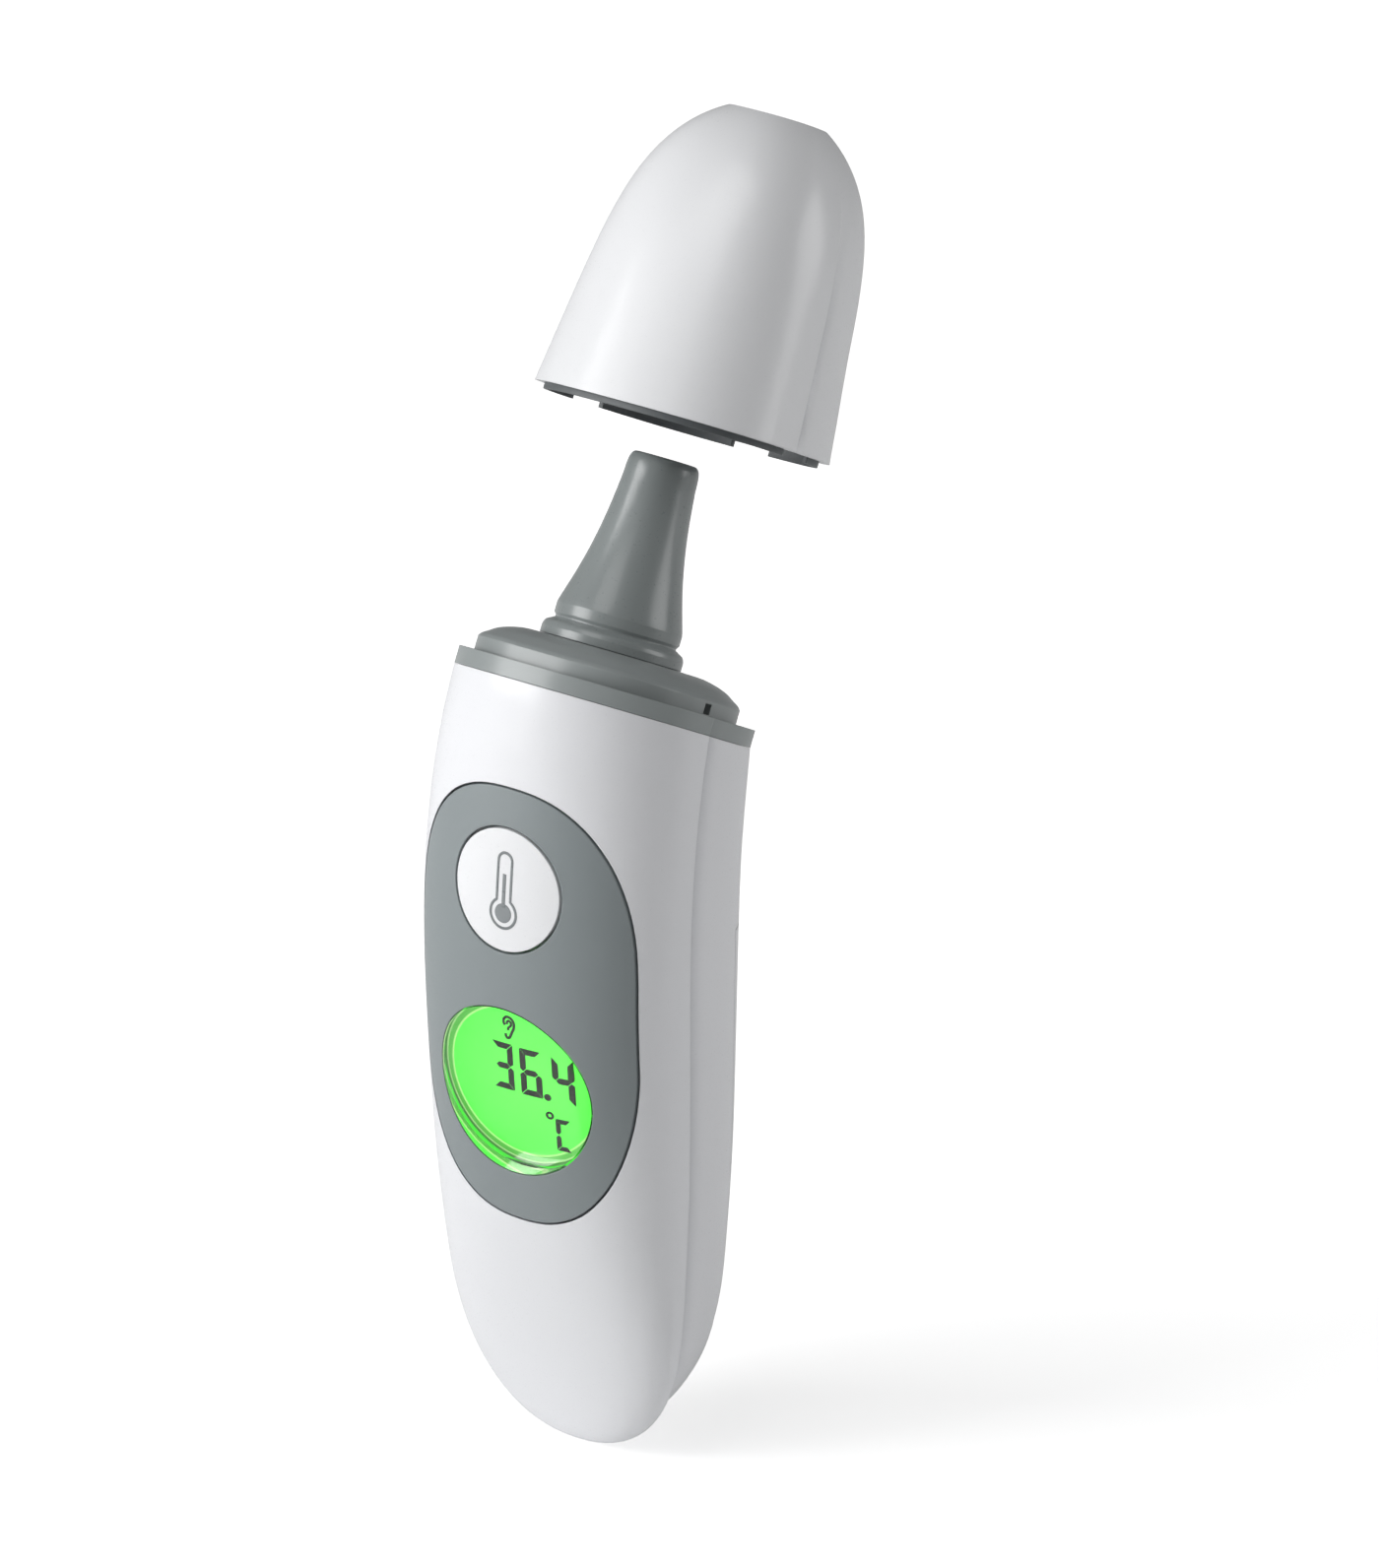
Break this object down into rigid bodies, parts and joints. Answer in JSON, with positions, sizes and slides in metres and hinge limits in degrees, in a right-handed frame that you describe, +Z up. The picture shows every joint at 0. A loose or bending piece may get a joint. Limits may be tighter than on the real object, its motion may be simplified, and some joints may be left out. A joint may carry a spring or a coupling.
{
  "type": "digital ear thermometer",
  "caption": "Handheld ear thermometer with a tilted conical probe, round measure button, round lit display in an oval panel, battery door and pull-off domed cap.",
  "frame": {"origin": "on the probe axis, halfway along the round seat at the foot of the probe cone where a probe cover clips on", "axes": "+Z up the handle towards the head, -Y is the side with the button and display, +X to the right of someone reading the display; the probe, head and cap lean 28 degrees towards +Y"},
  "size_m": [0.0406, 0.0685, 0.177],
  "materials": {
    "shell_white": "satin",
    "panel_grey": "satin",
    "button_white": "satin",
    "clear": "clear",
    "lcd": "lit",
    "frame_white": "matte",
    "guide": "frosted",
    "rubber_dark": "matte",
    "led": "matte",
    "board_green": "satin",
    "chip_black": "matte",
    "buzzer_black": "matte",
    "switch_metal": "satin",
    "steel": "satin",
    "cell_jacket": "satin",
    "head_grey": "satin",
    "probe_grey": "satin",
    "window": "clear",
    "gold": "polished",
    "brass_block": "satin",
    "lead_red": "satin",
    "liner_grey": "matte"
  },
  "bodies": {
    "handle": {"front_shell": "shell_white", "rear_shell": "shell_white", "front_panel": "panel_grey", "display_lens": "clear", "lcd_glass": "lcd", "lcd_frame": "frame_white", "light_guide": "guide", "contact_strip": "rubber_dark", "backlight_leds": "led", "main_board": "board_green", "controller_chip": "chip_black", "memory_chip": "chip_black", "buzzer": "buzzer_black", "switch_body": "switch_metal", "case_screws": "steel", "battery_cells": "cell_jacket", "battery_springs": "steel", "battery_contacts": "steel", "head_collar": "head_grey", "probe_sleeve": "probe_grey", "probe_window": "window", "waveguide": "gold", "sensor_holder": "brass_block", "thermopile": "steel", "sensor_board": "board_green", "sensor_leads": "lead_red"},
    "cap": {"cap_shell": "shell_white", "cap_liner": "liner_grey"},
    "button": {"measure_button": "button_white"},
    "plunger": {"switch_plunger": "chip_black"},
    "door": {"battery_door": "shell_white"}
  },
  "joints": [
    {"name": "cap_slide", "type": "slide", "parent": "handle", "child": "cap", "axis": [0, 0.4695, 0.8829], "range_m": [-0.036, 0]},
    {"name": "button_press", "type": "slide", "parent": "handle", "child": "button", "axis": [0, 1, 0], "range_m": [0, 0.0005], "stiffness_N_per_m": 2000},
    {"name": "plunger_press", "type": "slide", "parent": "handle", "child": "plunger", "axis": [0, 1, 0], "range_m": [0, 0.0005]},
    {"name": "door_slide", "type": "slide", "parent": "handle", "child": "door", "axis": [0, 0, -1], "range_m": [0, 0.02]}
  ],
  "couplings": [
    {"joint": "plunger_press", "follows": "button_press", "ratio": 1}
  ]
}
